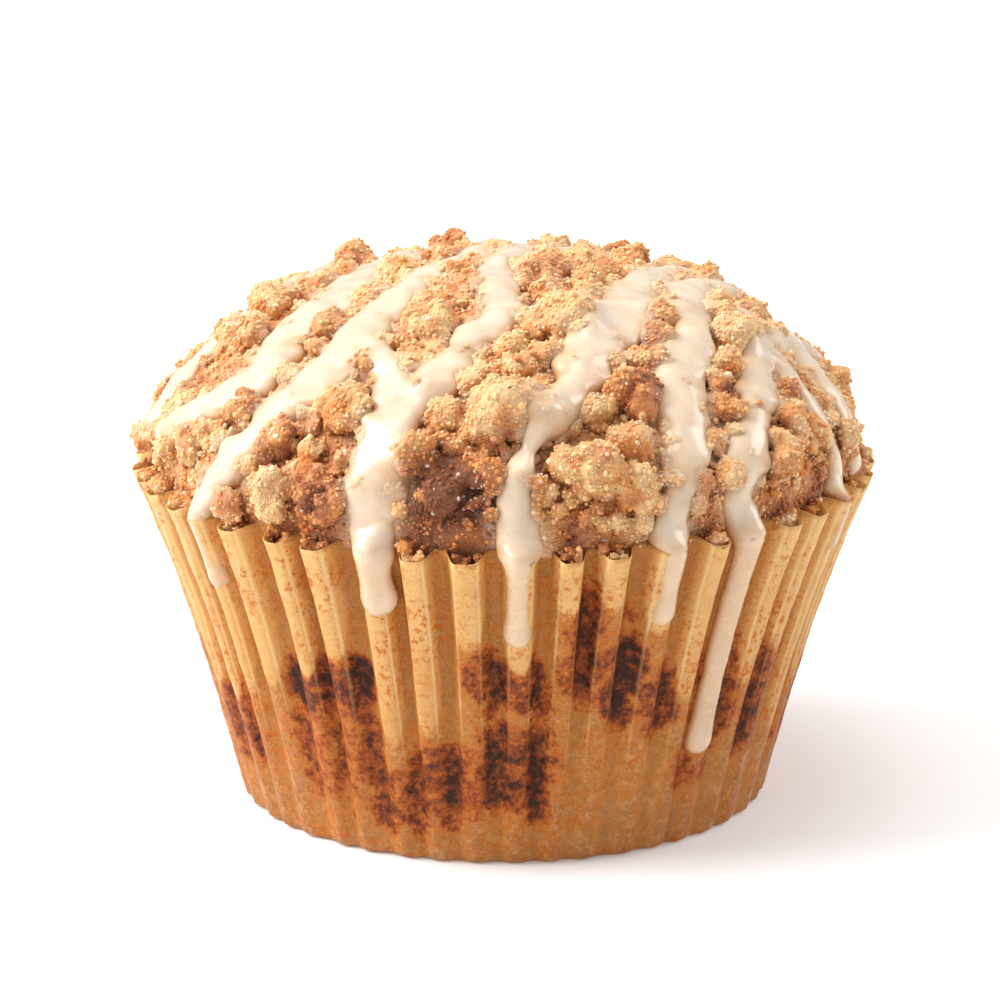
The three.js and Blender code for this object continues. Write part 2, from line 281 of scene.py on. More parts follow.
def blurred(field, reach):
    """The field smoothed over about that many millimetres."""
    sigma = reach / VOXEL
    half = int(math.ceil(2.5 * sigma))
    taps = np.exp(-0.5 * (np.arange(-half, half + 1) / sigma) ** 2)
    taps = (taps / taps.sum()).astype(np.float32)
    for axis in range(3):
        padding = [(0, 0)] * 3
        padding[axis] = (half, half)
        padded = np.pad(field, padding, mode="edge")
        n = field.shape[axis]
        result = np.zeros_like(field)
        for k, tap in enumerate(taps):
            window = [slice(None)] * 3
            window[axis] = slice(k, k + n)
            result += tap * padded[tuple(window)]
        field = result
    return field


def sampled(field, points):
    """The field's value at points, between voxels."""
    place = np.clip((points - ORIGIN) / VOXEL, 0, np.array(SHAPE) - 1.001)
    corner = place.astype(int)
    return between_cells(corner, place - corner, lambda cells: field[tuple(cells.T)])


def nearest(field, points):
    place = np.rint((points - ORIGIN) / VOXEL).astype(int)
    return field[tuple(np.clip(place, 0, np.array(SHAPE) - 1).T)]


def smooth_union(first, second, blend):
    share = np.clip(0.5 + 0.5 * (second - first) / blend, 0, 1)
    return second + (first - second) * share - blend * share * (1 - share)


def distances(centre, reach):
    """The voxels within reach of a point, as slices of the grid, and how far each is from it."""
    low = np.maximum(((centre - reach - ORIGIN) / VOXEL).astype(int), 0)
    high = np.minimum(((centre + reach - ORIGIN) / VOXEL).astype(int) + 2, SHAPE)
    window = tuple(slice(a, b) for a, b in zip(low, high))
    dx = xs[window[0]][:, None, None] - centre[0]
    dy = ys[window[1]][None, :, None] - centre[1]
    dz = zs[window[2]][None, None, :] - centre[2]
    return window, np.sqrt(dx * dx + dy * dy + dz * dz)


def stamp_balls(field, owner, numbers):
    """Joins balls softly to a distance field, and notes which ball is nearest."""
    for number in numbers:
        centre, radius = balls[number, :3], balls[number, 3]
        window, distance = distances(centre, radius + 3 * VOXEL)
        distance = distance - radius
        closer = distance < field[window]
        field[window] = smooth_union(field[window], distance, min(CRUMB_BLEND, radius * 0.5))
        owner[window] = np.where(closer, number, owner[window])


def surface(field, low_index=0, coarse=0.0):
    """Points, in millimetres, and triangles and quads of the field's zero surface."""
    block = np.clip(field[:, :, low_index:], -FAR * VOXEL, FAR * VOXEL).astype(np.float32)
    for axis in range(3):
        np.moveaxis(block, axis, 0)[[0, -1]] = FAR * VOXEL
    grid = openvdb.FloatGrid(float(FAR * VOXEL))
    grid.copyFromArray(block)
    points, triangles, quads = grid.convertToPolygons(0.0, coarse)
    points = points * VOXEL + ORIGIN
    points[:, 2] += low_index * VOXEL
    return points, triangles.astype(np.int64), quads.astype(np.int64)


# ---- shape of the cup ----

def valley(turn, share):
    """0 on a pleat's crest and 1 in its valley, steeper between them towards the rim."""
    steep = 0.6 + 1.5 * share
    fold = np.tanh(steep * (np.cos(turn * PLEATS) + CREST_BREADTH))
    return 0.5 - 0.5 * fold / np.tanh(steep * (1 + CREST_BREADTH))


def pleat_depth(share):
    return PLEAT_DEPTH_BASE + (PLEAT_DEPTH_RIM - PLEAT_DEPTH_BASE) * share ** 1.5


def crest_radius(share):
    lean = (1 - RIM_FLARE) * share + RIM_FLARE * share ** 3
    return BASE_RADIUS + (RIM_RADIUS - BASE_RADIUS) * lean


# Each pleat has its own width and depth.
pleat_rng = np.random.default_rng(5)
pleat_shift = pleat_rng.uniform(-0.16, 0.16, PLEATS + 1)
pleat_size = pleat_rng.uniform(0.78, 1.12, PLEATS + 1)
# Height above which each crest stands clear of the cake, kept above the cinnamon stains.
loose_end = pleat_rng.uniform(9.0, 18.0, PLEATS)
for number in range(PLEATS):
    for start, end, _low, high, _strength in PAPER_STAINS:
        off = (number * 360 / PLEATS - (start + end) / 2 + 180) % 360 - 180
        if abs(off) < (end - start) / 2 + 1.5:
            loose_end[number] = max(loose_end[number], high - pleat_rng.uniform(-1.0, 5.0))


def pleats_round(turn):
    return turn / (2 * math.pi) * PLEATS


def by_pleat(turn, values):
    """One of the values that differ from pleat to pleat, at a turn."""
    return np.interp(pleats_round(turn) % PLEATS, np.arange(PLEATS + 1), [*values[:-1], values[0]])


def uneven_turn(turn):
    """The turn shifted so that the pleats are not all as wide as each other."""
    return turn + by_pleat(turn, pleat_shift) * 2 * math.pi / PLEATS


def wall_radius(share, turn):
    depth = pleat_depth(share) * by_pleat(turn, pleat_size)
    return crest_radius(share) - depth * valley(uneven_turn(turn), share)


# ---- body and streusel as distance fields ----

def dome_rise(share):
    return (1 - np.minimum(share, 1) ** DOME_FULLNESS) ** (1 / DOME_FULLNESS)


def dome_point(x, y):
    """A point on the plain dome, from shares of its radius in plan."""
    share = math.hypot(x, y)
    height = DOME_BASE + (DOME_TOP - DOME_BASE) * dome_rise(share)
    return np.array([x * DOME_RADIUS, y * DOME_RADIUS, height])


def dome_normal(x, y):
    share = min(math.hypot(x, y), 0.999)
    outward = share ** (DOME_FULLNESS - 1) / DOME_RADIUS
    upward = float(dome_rise(share)) ** (DOME_FULLNESS - 1) / (DOME_TOP - DOME_BASE)
    turn = math.atan2(y, x)
    normal = np.array([outward * math.cos(turn), outward * math.sin(turn), upward])
    return normal / np.linalg.norm(normal)


RADIAL = np.sqrt(X * X + Y * Y)
TURN = np.arctan2(Y, X)


def body_field():
    """Distance to the baked body: a dome over a plug that fills the cup's pleats."""
    above = np.maximum(Z - DOME_BASE, 0)
    tall = DOME_TOP - DOME_BASE
    radius = DOME_RADIUS - 0.3
    scale = ((RADIAL / radius) ** DOME_FULLNESS + (above / tall) ** DOME_FULLNESS) ** (1 / DOME_FULLNESS)
    ray = np.sqrt(RADIAL ** 2 + above ** 2)
    dome = ray * (scale - 1) / np.maximum(scale, 0.05)
    dome = np.where(Z < DOME_BASE, RADIAL - radius - (Z - DOME_BASE) * 0.25, dome)
    share = np.clip(Z / CUP_HEIGHT, 0, 1.1)
    inner = RADIAL - (wall_radius(share, TURN) - PAPER - PLUG_GAP)
    plug = np.where(Z < CUP_TOP - 0.9, inner, -FAR)
    field = np.maximum(dome * 0.93, np.minimum(plug, FAR)).astype(np.float32)
    field += bumps(CRUST_BUMPS, 31) * np.clip((Z - 30.5) / 1.5, 0, 1)
    return np.maximum(field, FLOOR_OF_CUP - Z).astype(np.float32)


def cup_field():
    """Distance to the cup taken as solid, for the icing to lie on."""
    share = np.clip(Z / CUP_HEIGHT, 0, 1.0)
    side = (RADIAL - wall_radius(share, TURN)) * 0.93
    return np.maximum(side, Z - CUP_TOP).astype(np.float32)


def line_plan_distance(x, y):
    """Distance in millimetres, in plan, to the nearest icing line's edge."""
    best = 99.0
    for line in ICING_LINES:
        path = np.array(line["path"])
        start, end = path[:-1], path[1:]
        here = np.array([x, y])
        along = end[:, :2] - start[:, :2]
        share = np.clip(((here - start[:, :2]) * along).sum(1) / (along ** 2).sum(1), 0, 1)
        foot = start[:, :2] + along * share[:, None]
        width = start[:, 2] + (end[:, 2] - start[:, 2]) * share
        gap = np.hypot(*(foot - here).T) * DOME_RADIUS - width / 2
        best = min(best, gap.min())
    return best


def random_place(limit):
    """A place drawn evenly from a disc in plan whose radius squared is the limit."""
    radius = math.sqrt(rng.uniform(0, limit))
    turn = rng.uniform(0, 2 * math.pi)
    return radius * math.cos(turn), radius * math.sin(turn)


def scatter_crumbs():
    """The main crumbs, then smaller ones wherever there is room off the icing."""
    crumbs = list(MAIN_CRUMBS)
    for wanted in CRUMB_ROUNDS:
        for _ in range(1500):
            x, y = random_place(0.94)
            size = wanted * rng.uniform(0.85, 1.15)
            if wanted > 3.5 and line_plan_distance(x, y) < size * 0.05:
                continue
            here = dome_point(x, y)
            if all(np.linalg.norm(here - dome_point(cx, cy)) >= (size + csize) * 0.43
                   for cx, cy, csize, _tone in crumbs):
                crumbs.append((x, y, size, rng.uniform(0.35, 1.0)))
    return crumbs


def sector(x, y):
    """Which quarter of the top a crumb lies in."""
    return (0 if y < 0 else 2) + (0 if x < 0 else 1)


SECTORS = ["front_left", "front_right", "back_left", "back_right"]
balls = []


def add_ball(centre, radius, tone, part):
    balls.append([*centre, radius, tone, part])


def random_direction():
    v = rng.normal(size=3)
    return v / np.linalg.norm(v)


def build_crumb(x, y, size, tone):
    """One crumb: a low heap of lumps, knobbly with smaller ones."""
    normal = dome_normal(x, y)
    part = sector(x, y)
    radius = size / 2
    sunk = np.interp(math.hypot(x, y), *CRUMB_SINK) * np.clip((y + 0.45) / 0.2, 0, 1)
    middle = dome_point(x, y) + normal * (radius * 0.10 - 0.15 - sunk)
    squash = np.array([1.0, 1.0, 1.0]) - np.abs(normal) * 0.35
    lumps = []
    for _ in range(int(6 + radius * 3.4)):
        direction = random_direction()
        if direction @ normal < -0.2:
            direction = -direction
        reach = radius * rng.uniform(*LUMP_REACH)
        lump = radius * rng.uniform(*LUMP_RADIUS)
        centre = middle + direction * reach * squash
        lumps.append((centre, lump))
        add_ball(centre, lump, tone + rng.uniform(-0.12, 0.12), part)
    for centre, lump in lumps:
        for _ in range(int(3 + 3.5 * lump)):
            direction = random_direction()
            if direction @ normal < -0.3:
                continue
            knob = rng.uniform(*KNOB_RADIUS)
            add_ball(centre + direction * (lump - 0.35 * knob), knob, tone + rng.uniform(-0.25, 0.25), part)


def scatter_knobs(count):
    """Small lumps between the crumbs, thick in some places and thin in others."""
    kept = 0
    while kept < count:
        x, y = random_place(1.0)
        thick = noise_at(np.array([[x * DOME_RADIUS, y * DOME_RADIUS, 3.0]]), 5.0, 9)[0]
        if rng.uniform(-0.6, 0.5) > thick:
            continue
        knob = rng.uniform(0.35, 0.85)
        centre = dome_point(x, y) + dome_normal(x, y) * rng.uniform(-0.35, 0.3)
        add_ball(centre, knob, 0.65 + rng.uniform(-0.3, 0.3), sector(x, y))
        kept += 1


def rim_knobs(count):
    """Small lumps packed into the pleats along the paper's edge."""
    for _ in range(count):
        turn = rng.uniform(0, 2 * math.pi)
        share = rng.uniform(0.95, 1.02)
        outer = float(wall_radius(min(share, 1.0), np.array([turn]))[0])
        knob = rng.uniform(0.28, 0.65)
        radius = outer - PAPER - knob - rng.uniform(0.0, 1.8)
        height = CUP_HEIGHT * share - rng.uniform(0.0, 0.8)
        centre = np.array([radius * math.cos(turn), radius * math.sin(turn), height])
        add_ball(centre, knob, 0.55 + rng.uniform(-0.3, 0.3), sector(centre[0], centre[1]))


for crumb in scatter_crumbs():
    build_crumb(*crumb)
scatter_knobs(KNOBS)
rim_knobs(KNOBS_AT_RIM)
balls = np.array(balls)
ball_tones = np.clip(balls[:, 4], 0, 1)

body = body_field()
roughening = bumps(STREUSEL_BUMPS, 40)
share_up = np.clip(Z / CUP_HEIGHT, 0, 1.1)
inside_paper = RADIAL - (wall_radius(share_up, TURN) - PAPER - PAPER_GAP)
inside_paper = np.where(Z < CUP_TOP - 0.2, inside_paper, -FAR).astype(np.float32)
ball_owner = np.zeros(SHAPE, np.int32)
streusel_fields = []
streusel = np.full(SHAPE, FAR, np.float32)
for part in range(4):
    field = np.full(SHAPE, FAR, np.float32)
    stamp_balls(field, ball_owner, np.flatnonzero(balls[:, 5] == part))
    field = np.maximum(field + roughening, inside_paper)
    streusel_fields.append(field)
    np.minimum(streusel, field, out=streusel)

ground = np.minimum(np.minimum(body, streusel), cup_field())
ground_clipped = np.clip(ground, -FAR, FAR)
smooth_ground = blurred(ground_clipped, GROUND_BLUR)


# ---- icing ----

def catmull(points, step=0.35):
    """Points close together on a smooth curve through the given ones. Columns are treated alike."""
    points = np.asarray(points, float)
    ends = np.vstack([2 * points[0] - points[1], points, 2 * points[-1] - points[-2]])
    result = []
    for i in range(1, len(ends) - 2):
        a, b, c, d = ends[i - 1:i + 3]
        count = max(2, int(np.linalg.norm((c - b)[:3]) / step))
        t = np.linspace(0, 1, count, endpoint=False)[:, None]
        result.append(0.5 * (2 * b + (c - a) * t + (2 * a - 5 * b + 4 * c - d) * t ** 2
                             + (3 * b - a - 3 * c + d) * t ** 3))
    result.append(points[-1:])
    return np.vstack(result)


def settle(point, direction):
    """Moves a point along a direction onto the smoothed ground."""
    steps = np.arange(-4, 5, 0.1)
    line = point + direction * steps[:, None]
    values = sampled(smooth_ground, line)
    inside = np.flatnonzero(values < 0)
    if len(inside) == 0:
        return point
    return line[inside[-1]]


def nearest_crest(turn):
    """The turn of the pleat's crest nearest to the one given."""
    turns = turn + np.linspace(-0.1, 0.1, 401)
    return turns[np.argmin(valley(uneven_turn(turns), 1.0) + 0.3 * np.abs(turns - turn))]


def drip_points(azimuth, end_height, width):
    """Down the paper from its edge: each row is x, y, z, width, thickness."""
    turn = nearest_crest(math.radians(azimuth))
    outward = np.array([math.cos(turn), math.sin(turn), 0.0])
    edge = outward * (RIM_RADIUS - 0.8) + np.array([0, 0, CUP_TOP + 0.6])
    rows = [[*settle(edge, outward), width * 1.2, EDGE_THICKNESS]]
    heights = np.linspace(CUP_TOP - 1.5, end_height + width / 2, max(3, int((CUP_TOP - end_height) / 3)))
    for height in heights:
        share = height / CUP_HEIGHT
        start = outward * crest_radius(share) + np.array([0, 0, height])
        rows.append([*settle(start, outward), width * 0.95, DRIP_THICKNESS])
    rows[1][3:] = [width * 1.1, 1.1]
    rows[-1][3:] = [width * 1.08, DRIP_END_THICKNESS]
    return rows


def line_rows(line):
    rows = []
    for x, y, width in line["path"]:
        start = dome_point(x, y)
        rows.append([*settle(start, dome_normal(x, y)), width * LINE_WIDENING, LINE_THICKNESS])
    if "front" in line:
        rows += drip_points(*line["front"])
    if "back" in line:
        rows = drip_points(*line["back"])[::-1] + rows
    return catmull(rows)


def spread_icing(rows, number, share, thick):
    """Notes how far each voxel lies across the line, from 0 at its middle to 1 at its edge."""
    places = rows[:, :3]
    wander = noise_at(places, 2.6, 60 + number) * 0.24 + noise_at(places, 1.1, 80 + number) * 0.12
    wander *= np.where(rows[:, 2] < CUP_TOP, 0.3, 1.0)
    for row, change in zip(rows, wander):
        half = row[3] / 2 * (1 + change)
        window, distance = distances(row[:3], half * SHARE_FAR + 2 * VOXEL)
        distance = distance / half
        closer = distance < share[window]
        share[window] = np.where(closer, distance, share[window])
        thick[window] = np.where(closer, row[4], thick[window])


def icing_field():
    """Distance to icing that fills the hollows of what it lies on, thickest along its middle."""
    share = np.full(SHAPE, SHARE_FAR, np.float32)
    thick = np.zeros(SHAPE, np.float32)
    for number, line in enumerate(ICING_LINES):
        spread_icing(line_rows(line), number, share, thick)
    ragged = np.clip((Z - CUP_TOP + 1.5) / 2, 0, 1)
    share += ragged * (0.28 * grid_noise(2.2, 51) + 0.12 * grid_noise(0.9, 52))
    share = np.clip(share, 0, SHARE_FAR)
    cover = np.maximum(1 - share ** 2.2, 0)
    top = smooth_ground - thick * cover + np.where(share >= 1, 0.05 + (share - 1) * 2.0, 0)
    by_rim = np.clip(1.6 - np.abs(Z - CUP_TOP + 0.5) / 1.6, 0, 1)
    coat = np.where(share < 1, ground_clipped - EDGE_COAT * cover, FAR) + (1 - by_rim) * FAR
    top = np.minimum(top, coat)
    below = -smooth_ground - ICING_DEPTH
    return np.maximum(top, np.maximum(below, (share - 1) * 1.5)).astype(np.float32)


icing = blurred(np.clip(icing_field(), -1.2, 1.2), ICING_BLUR)


# ---- meshes ----

NO_FACES = np.zeros((0, 3), np.int64)


def make_object(name, points, triangles=NO_FACES, quads=NO_FACES):
    """A smooth mesh object from points in millimetres, with its faces turned outwards."""
    points = np.asarray(points, float)
    corners = [triangles, quads[:, :3], quads[:, [0, 2, 3]] if len(quads) else NO_FACES]
    a, b, c = (points[np.vstack(corners)[:, i]] for i in range(3))
    if np.einsum("ij,ij->", a, np.cross(b, c)) < 0:
        triangles, quads = triangles[:, ::-1], quads[:, ::-1]
    loops = np.concatenate([triangles.ravel(), quads.ravel()])
    sizes = np.concatenate([np.full(len(triangles), 3), np.full(len(quads), 4)])
    starts = np.concatenate([[0], np.cumsum(sizes)[:-1]])
    mesh = bpy.data.meshes.new(name)
    mesh.vertices.add(len(points))
    mesh.vertices.foreach_set("co", (points * MM).astype(np.float32).ravel())
    mesh.loops.add(len(loops))
    mesh.loops.foreach_set("vertex_index", loops.astype(np.int32))
    mesh.polygons.add(len(sizes))
    mesh.polygons.foreach_set("loop_start", starts.astype(np.int32))
    mesh.update(calc_edges=True)
    mesh.polygons.foreach_set("use_smooth", [True] * len(sizes))
    obj = bpy.data.objects.new(name, mesh)
    bpy.context.collection.objects.link(obj)
    return obj


def add_values(obj, name, values):
    attribute = obj.data.attributes.new(name, "FLOAT", "POINT")
    attribute.data.foreach_set("value", np.asarray(values, np.float32))


def add_colours(obj, name, colours):
    attribute = obj.data.color_attributes.new(name, "FLOAT_COLOR", "POINT")
    rgba = np.ones((len(colours), 4), np.float32)
    rgba[:, :3] = colours
    attribute.data.foreach_set("color", rgba.ravel())


def add_uv(obj, uv_of_vertices):
    layer = obj.data.uv_layers.new(name="OFBake")
    loops = np.zeros(len(obj.data.loops), np.int32)
    obj.data.loops.foreach_get("vertex_index", loops)
    layer.data.foreach_set("uv", np.asarray(uv_of_vertices)[loops].astype(np.float32).ravel())


def dome_uv(points):
    """A view of the top from above, with the sides spread outwards, filling the square."""
    centre_height = 22.0
    radial = np.hypot(points[:, 0], points[:, 1])
    angle = np.arctan2(radial, points[:, 2] - centre_height)
    turn = np.arctan2(points[:, 1], points[:, 0])
    uv = np.column_stack([angle * np.cos(turn), angle * np.sin(turn)])
    low, high = uv.min(0), uv.max(0)
    return (uv - low) / (high - low) * 0.98 + 0.01


PALE, GOLD, BROWN, DARK, ORANGE, ROSE, CREAM = (np.array(srgb(*colour)) for colour in (
    (240, 195, 140), (218, 148, 82), (176, 98, 48), (122, 60, 22), (226, 134, 50), (202, 130, 92),
    (238, 216, 190)))


def crumb_colours(points, tones, glaze=0.70, spots=0.48):
    """Colour by tone, by painted light and shade that darkens points lying low in recesses and lightens
    those that stand out, by the dark spots, and by the icing beside it.
    """
    shade_relief = sampled(smooth_ground, points)
    tone = tones + 0.08 + 0.22 * noise_at(points, 3.2, 12) + 0.10 * noise_at(points, 0.8, 13)
    # Painted shade and highlight: points lower than the smoothed ground come out darker, points standing out
    # lighter.
    tone = tone + np.clip(shade_relief, -1.0, 0.9) * 0.40
    for x, y, reach in DARK_SPOTS:
        spot = dome_point(x, y)
        gap = np.linalg.norm(points - spot, axis=1) / reach
        tone = tone - spots * np.exp(-gap ** 2)
    tone = np.clip(tone, 0, 1)[:, None]
    stops = [(0.0, DARK), (0.28, BROWN), (0.62, GOLD), (1.0, PALE)]
    colour = np.repeat(DARK[None], len(points), 0)
    for (low, first), (high, second) in zip(stops, stops[1:]):
        share = np.clip((tone - low) / (high - low), 0, 1)
        colour = np.where(tone >= low, first * (1 - share) + second * share, colour)
    warm = noise_at(points, 1.7, 14) * 1.4 - 0.25
    rosy = noise_at(points, 2.4, 16) * 1.3 - 0.3
    for patches, most, tint in ((warm, 0.6, ORANGE), (rosy, 0.5, ROSE)):
        share = np.clip(patches, 0, most)[:, None] * np.clip(tone * 2, 0, 1)
        colour = colour * (1 - share) + tint * share
    near = np.exp(-np.clip(sampled(icing, points), 0, 3) / 0.42)[:, None] * glaze
    return colour * (1 - near) + CREAM * near


crust_index = int((CRUST_LOW - GRID_LOW) / VOXEL)


def make_streusel(part):
    """One quarter of the streusel, with its underside seated in the body."""
    seated = np.maximum(streusel_fields[part], -(body + STREUSEL_SEAT))
    points, triangles, quads = surface(seated, crust_index)
    obj = make_object("streusel_" + SECTORS[part], points, triangles, quads)
    add_colours(obj, "tint", crumb_colours(points, ball_tones[nearest(ball_owner, points)]))
    add_uv(obj, dome_uv(points))
    return obj


def make_body():
    points, triangles, quads = surface(body, 0, 0.35)
    obj = make_object("muffin_body", points, triangles, quads)
    tones = 0.62 + 0.2 * noise_at(points, 7.0, 15)
    add_colours(obj, "tint", crumb_colours(points, tones))
    add_uv(obj, dome_uv(points))
    return obj


def make_icing():
    points, triangles, quads = surface(icing, 0)
    obj = make_object("icing", points, triangles, quads)
    smoothing = obj.modifiers.new("smooth", "SMOOTH")
    smoothing.factor = 0.5
    smoothing.iterations = 2
    lighter = obj.modifiers.new("lighter", "DECIMATE")
    lighter.ratio = ICING_FACES_KEPT
    depth = 0.4 * sampled(ground_clipped, points) + 0.6 * sampled(smooth_ground, points)
    depth = np.clip(depth, 0, 2)
    on_paper = np.clip((CUP_TOP + 1.0 - points[:, 2]) / 3, 0, 1)
    add_values(obj, "depth", depth * (1 - 0.45 * on_paper))
    add_uv(obj, dome_uv(points))
    return obj


def unit_ball(subdivisions):
    ball = bmesh.new()
    bmesh.ops.create_icosphere(ball, subdivisions=subdivisions, radius=1.0)
    points = np.array([v.co[:] for v in ball.verts])
    faces = np.array([[v.index for v in f.verts] for f in ball.faces])
    ball.free()
    return points, faces


def spaced(candidates, sizes):
    """Which of the candidates to keep, so that no two lie closer than their sizes allow."""
    cell = 0.9
    steps = list(itertools.product((-1, 0, 1), repeat=3))
    grid = {}
    kept = []
    for index, (point, size) in enumerate(zip(candidates, sizes)):
        x, y, z = np.floor(point / cell).astype(int)
        near = (found for dx, dy, dz in steps for found in grid.get((x + dx, y + dy, z + dz), ()))
        if all((point - other) @ (point - other) >= ((size + other_size) * 0.72) ** 2
               for other, other_size in near):
            grid.setdefault((x, y, z), []).append((point, size))
            kept.append(index)
    return np.array(kept)


def make_grains(front, seed, wanted):
    """Rounded sugary grains stuck all over the streusel and the crust, off the icing."""
    local = np.random.default_rng(seed)
    top = np.minimum(body, streusel)
    points, _triangles, _quads = surface(top, crust_index)
    points = points[(points[:, 1] < 0) == front]
    points = points[points[:, 2] > CUP_TOP - 1.8]
    chosen = local.permutation(len(points))[:wanted * 6]
    points = points[chosen]
    sizes = local.choice(GRAIN_SIZES, len(points), p=GRAIN_SHARES)
    sizes = sizes * local.uniform(0.88, 1.12, len(points))
    crowding = noise_at(points, 4.5, 21) + 0.9 * noise_at(points, 1.8, 22)
    clear = (sampled(icing, points) > 0.15) & (sampled(inside_paper, points) < -0.4)
    keep = clear & (crowding > local.uniform(-1.5, 0.2, len(points)))
    points, sizes = points[keep], sizes[keep]
    kept = spaced(points, sizes)[:wanted]
    points, sizes = points[kept], sizes[kept]
    out = np.column_stack([sampled(top, points + step) - sampled(top, points - step)
                           for step in np.eye(3) * 0.4])
    out /= np.maximum(np.linalg.norm(out, axis=1), 1e-6)[:, None]
    tones = ball_tones[nearest(ball_owner, points)] + local.uniform(-0.14, 0.18, len(points))
    colours = crumb_colours(points + out * 0.3, tones + 0.04, 0.5, 0.50)
    sugar = np.clip(0.04 + 0.40 * noise_at(points, 3.0, 23), 0.02, 0.4)
    sugary = local.uniform(0, 1, len(points)) < sugar
    colours[sugary] = colours[sugary] * 0.45 + CREAM * 0.55
    shapes = [unit_ball(2), unit_ball(1)]
    stacked, faces, tints, count = [], [], [], 0
    for centre, size, normal, colour in zip(points, sizes, out, colours):
        ball, ball_faces = shapes[0] if size > ROUNDER_GRAIN else shapes[1]
        stretch = local.uniform(0.75, 1.25, 3)
        turned = ball * size * stretch * local.uniform(0.88, 1.12, (len(ball), 1))
        angle = local.uniform(0, 2 * math.pi)
        cos, sin = math.cos(angle), math.sin(angle)
        turned = turned @ np.array([[cos, sin, 0], [-sin, cos, 0], [0, 0, 1]])
        stacked.append(turned + centre + normal * size * local.uniform(-0.5, 0.3))
        faces.append(ball_faces + count)
        tints.append(np.repeat(colour[None], len(ball), 0))
        count += len(ball)
    stacked = np.vstack(stacked)
    name = "streusel_grains_front" if front else "streusel_grains_back"
    obj = make_object(name, stacked, np.vstack(faces))
    add_colours(obj, "tint", np.vstack(tints))
    add_uv(obj, dome_uv(stacked))
    return obj


def across_pleat(turn):
    """How far a turn lies from its pleat's crest: 0 on the crest and 0.5 in the valley."""
    place = pleats_round(uneven_turn(turn))
    return np.abs(place - np.rint(place))


def loose_paper(turn, share):
    """1 where a crest stands clear of the cake behind it, 0 where the cake sticks to the paper."""
    place = np.rint(pleats_round(uneven_turn(turn))).astype(int) % PLEATS
    across = across_pleat(turn)
    low = loose_end[place] + 2.6 * (across / CREST_HALF) ** 3
    clear = np.clip((share * CUP_HEIGHT - low) / 0.9 + 0.5, 0, 1)
    return clear * np.clip((CREST_HALF + 0.05 - across) / 0.07, 0, 1)


def make_cup():
    """The pleated paper: an outer skin, its edge, an inner skin and the floor."""
    around = PLEATS * 18
    levels = np.concatenate([[0.0, 0.012], np.linspace(0.03, 1.0, 57)])
    turn = np.linspace(0, 2 * math.pi, around, endpoint=False)
    points, uvs = [], []
    values = {"pleat": [], "height": [], "loose": [], "across": []}

    def add_ring(share, inset, v):
        fold = valley(uneven_turn(turn), share)
        radius = wall_radius(share, turn) - inset
        corner = BASE_CORNER / CUP_HEIGHT
        if share < corner:
            radius = radius - (1 - math.sqrt(1 - (1 - share / corner) ** 2)) * BASE_CORNER
        lift = share * (CUP_HEIGHT + RIM_WAVE * (fold - 0.5))
        ripple = np.column_stack([radius * np.cos(turn), radius * np.sin(turn),
                                  np.full(around, share * CUP_HEIGHT)])
        radius = radius + 0.12 * share * noise_at(ripple, 3.5, 71) + 0.05 * noise_at(ripple, 1.2, 72)
        edge = 0.12 * share ** 6 * noise_at(ripple * [1, 1, 0], 6.0, 73)
        z = np.maximum(lift + edge, 0) + (inset if share == 0 else 0)
        points.append(np.column_stack([radius * np.cos(turn), radius * np.sin(turn), z]))
        values["pleat"].append(fold)
        values["height"].append(np.full(around, share))
        values["loose"].append(loose_paper(turn, share))
        values["across"].append(across_pleat(turn))
        uvs.append(np.column_stack([turn / (2 * math.pi), np.full(around, v)]))

    for share in levels:
        add_ring(share, 0.0, 0.30 + 0.70 * share)
    for share in levels[::-1]:
        add_ring(share, PAPER, 0.10 + 0.18 * share)
    rows = len(points)
    i = np.arange(around)
    j = (i + 1) % around
    start = (np.arange(rows - 1) * around)[:, None]
    quads = np.stack([start + i, start + j, start + around + j, start + around + i], axis=2).reshape(-1, 4)
    under = rows * around
    last = (rows - 1) * around
    closing = np.vstack([np.column_stack([np.full(around, under), j, i]),
                         np.column_stack([last + i, last + j, np.full(around, under + 1)])])
    stacked = np.vstack([*points, [[0, 0, 0.0], [0, 0, PAPER]]])
    obj = make_object("paper_cup", stacked, closing, quads)
    for name, rings in values.items():
        add_values(obj, name, np.concatenate([*rings, [0, 0]]))
    add_values(obj, "stain", stain_strength(stacked))
    add_uv(obj, np.vstack([*uvs, [[0.5, 0.29], [0.5, 0.05]]]))
    return obj


def stain_strength(points):
    """How strongly cinnamon shows through the paper at each point."""
    azimuth = np.degrees(np.arctan2(points[:, 1], points[:, 0]))
    wobble_a = noise_at(points, 3.0, 91) * 2.2 + noise_at(points, 1.2, 93) * 1.0
    wobble_z = noise_at(points, 3.0, 92) * 1.6 + noise_at(points, 1.2, 94) * 0.7
    total = np.zeros(len(points))
    for start, end, low, high, strength in PAPER_STAINS:
        middle, half = (start + end) / 2, (end - start) / 2
        across = ((azimuth - middle + 180) % 360 - 180 + wobble_a) / (half + 1.5)
        updown = (points[:, 2] + wobble_z - (low + high) / 2) / ((high - low) / 2 + 0.8)
        gap = (np.abs(across) ** 3 + np.abs(updown) ** 3) ** (1 / 3)
        total = np.maximum(total, strength * np.clip((1.25 - gap) / 0.6, 0, 1))
    return total


# ---- materials ----

FLOOR_TONE = 0.82
FLOOR_GLOW = 0.20


